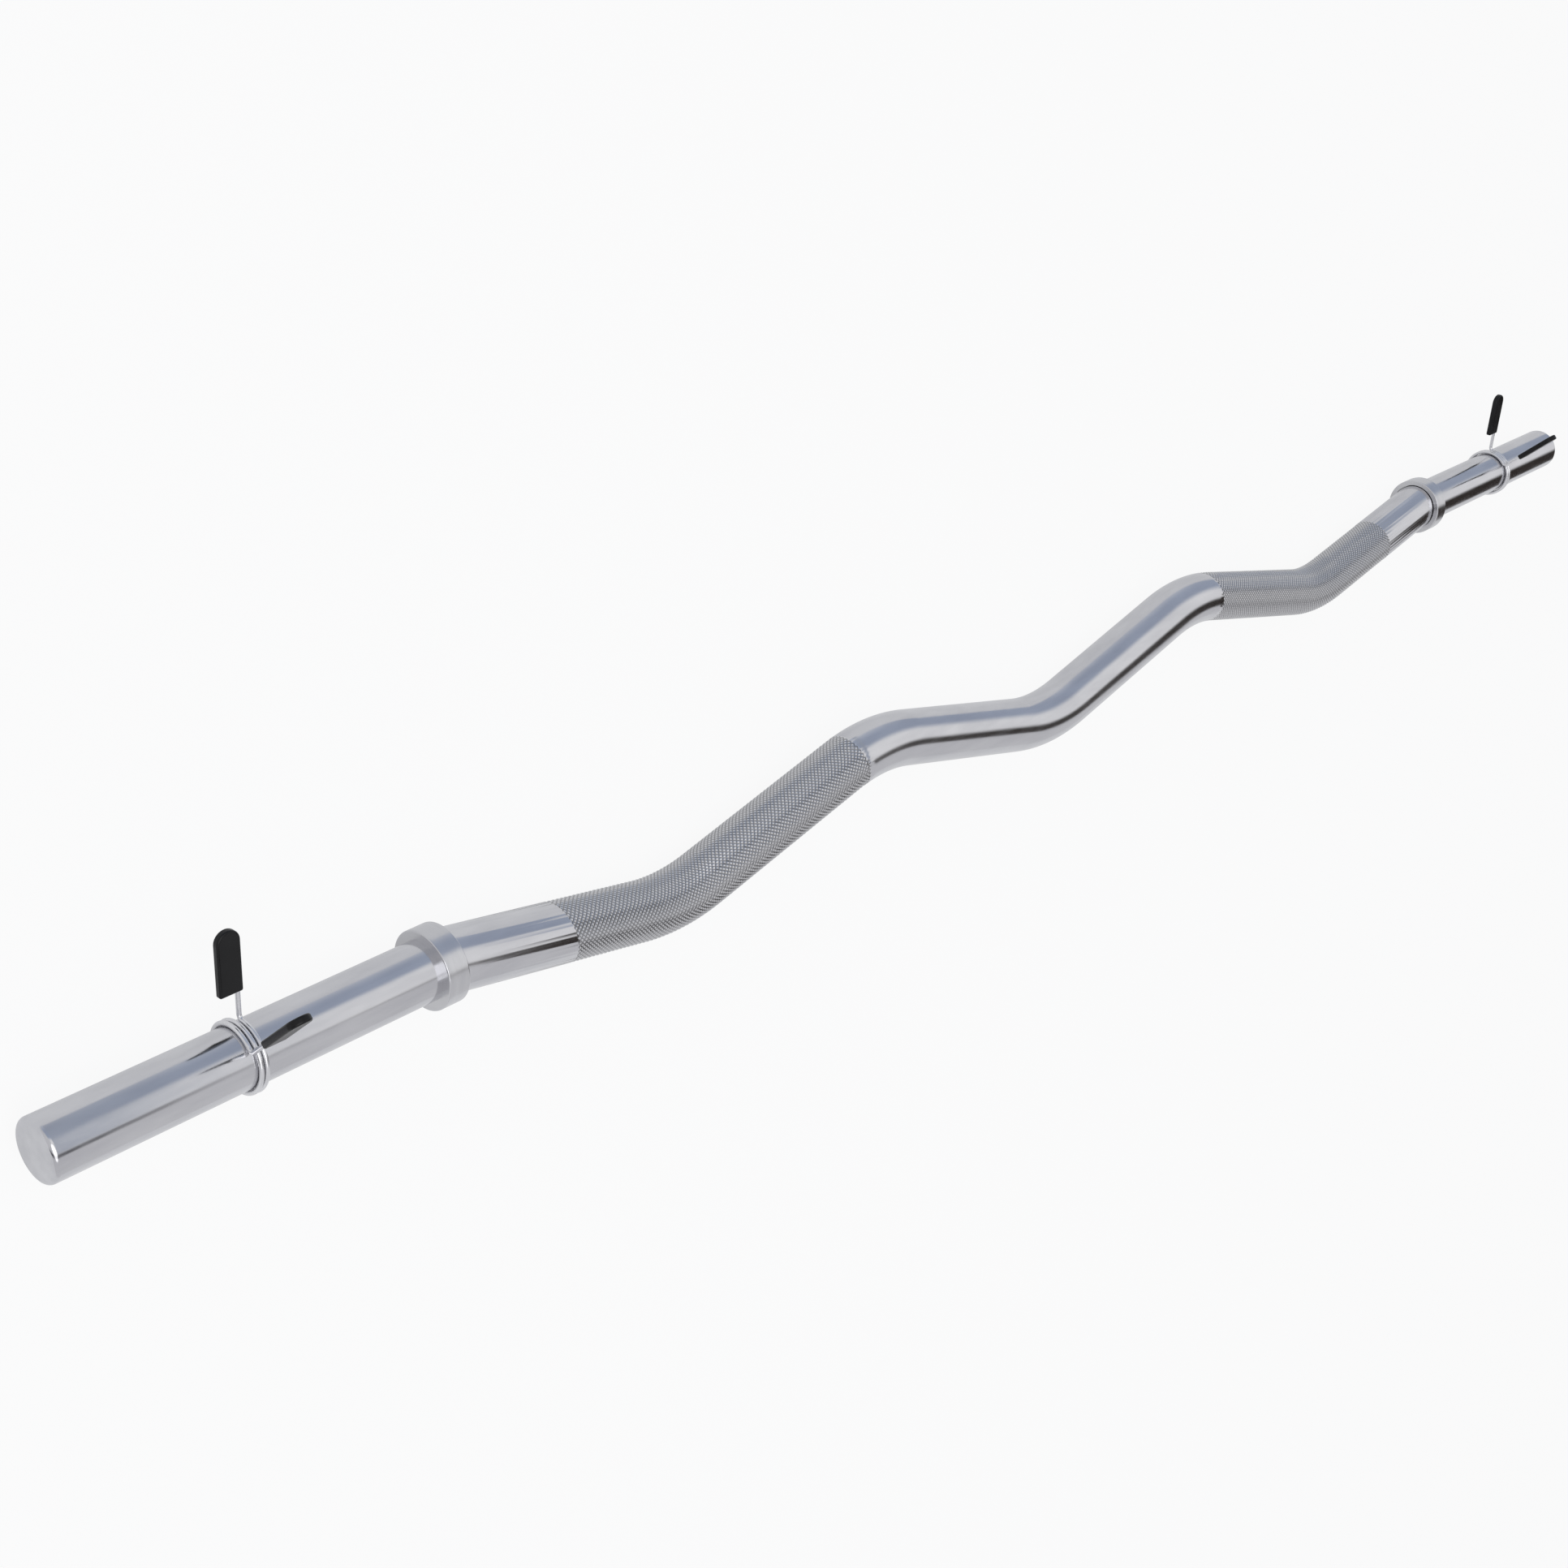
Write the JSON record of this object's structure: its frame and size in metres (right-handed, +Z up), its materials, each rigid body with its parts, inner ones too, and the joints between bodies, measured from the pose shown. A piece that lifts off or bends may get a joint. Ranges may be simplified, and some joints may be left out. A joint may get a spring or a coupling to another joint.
{
  "type": "ez curl bar",
  "caption": "Bent barbell for curls: knurled angled grips, turning sleeves with collars for weight plates, and a sprung wire clip on each sleeve.",
  "frame": {"origin": "on the floor under the middle of the bar's outline, as it lies on its collars and outer bends", "axes": "+X along the sleeves' common axis, +Z up, with the plane of the bends tilted about X by the rest tilt"},
  "size_m": [1.2, 0.089, 0.0665],
  "materials": {
    "shaft_chrome": "polished, knurled on the grips",
    "sleeve_chrome": "polished",
    "collar_chrome": "polished",
    "spring_wire": "bright drawn wire",
    "bright_steel": "ground",
    "bronze": "machined",
    "black_grip": "satin"
  },
  "bodies": {
    "shaft": {"grip_shaft": "shaft_chrome", "left_inner_thrust_washer": "bright_steel", "left_outer_thrust_washer": "bright_steel", "left_retaining_ring": "bright_steel", "right_inner_thrust_washer": "bright_steel", "right_outer_thrust_washer": "bright_steel", "right_retaining_ring": "bright_steel"},
    "left_sleeve": {"left_sleeve_tube": "sleeve_chrome", "left_collar": "collar_chrome", "left_inner_bushing": "bronze", "left_outer_bushing": "bronze", "left_end_cap": "sleeve_chrome"},
    "left_clip": {"left_clip_coil": "spring_wire", "left_clip_held_arm": "spring_wire", "left_clip_held_grip": "black_grip"},
    "left_lever": {"left_clip_squeezed_arm": "spring_wire", "left_clip_squeezed_grip": "black_grip"},
    "right_sleeve": {"right_sleeve_tube": "sleeve_chrome", "right_collar": "collar_chrome", "right_inner_bushing": "bronze", "right_outer_bushing": "bronze", "right_end_cap": "sleeve_chrome"},
    "right_clip": {"right_clip_coil": "spring_wire", "right_clip_held_arm": "spring_wire", "right_clip_held_grip": "black_grip"},
    "right_lever": {"right_clip_squeezed_arm": "spring_wire", "right_clip_squeezed_grip": "black_grip"}
  },
  "joints": [
    {"name": "left_sleeve_spin", "type": "hinge", "parent": "shaft", "child": "left_sleeve", "pos_m": [0, -0.00913, 0.0175], "axis": [1, 0, 0], "continuous": true},
    {"name": "left_clip_slide", "type": "slide", "parent": "left_sleeve", "child": "left_clip", "axis": [1, 0, 0], "range_m": [-0.095, 0.0845]},
    {"name": "left_clip_squeeze", "type": "hinge", "parent": "left_clip", "child": "left_lever", "pos_m": [0, -0.00913, 0.0175], "axis": [-1, 0, 0], "range_deg": [0, 44], "stiffness_Nm_per_rad": 0.6, "deforming": ["left_clip_coil"]},
    {"name": "right_sleeve_spin", "type": "hinge", "parent": "shaft", "child": "right_sleeve", "pos_m": [0, -0.00913, 0.0175], "axis": [1, 0, 0], "continuous": true},
    {"name": "right_clip_slide", "type": "slide", "parent": "right_sleeve", "child": "right_clip", "axis": [1, 0, 0], "range_m": [-0.092, 0.088]},
    {"name": "right_clip_squeeze", "type": "hinge", "parent": "right_clip", "child": "right_lever", "pos_m": [0, -0.00913, 0.0175], "axis": [-1, 0, 0], "range_deg": [0, 44], "stiffness_Nm_per_rad": 0.6, "deforming": ["right_clip_coil"]}
  ]
}
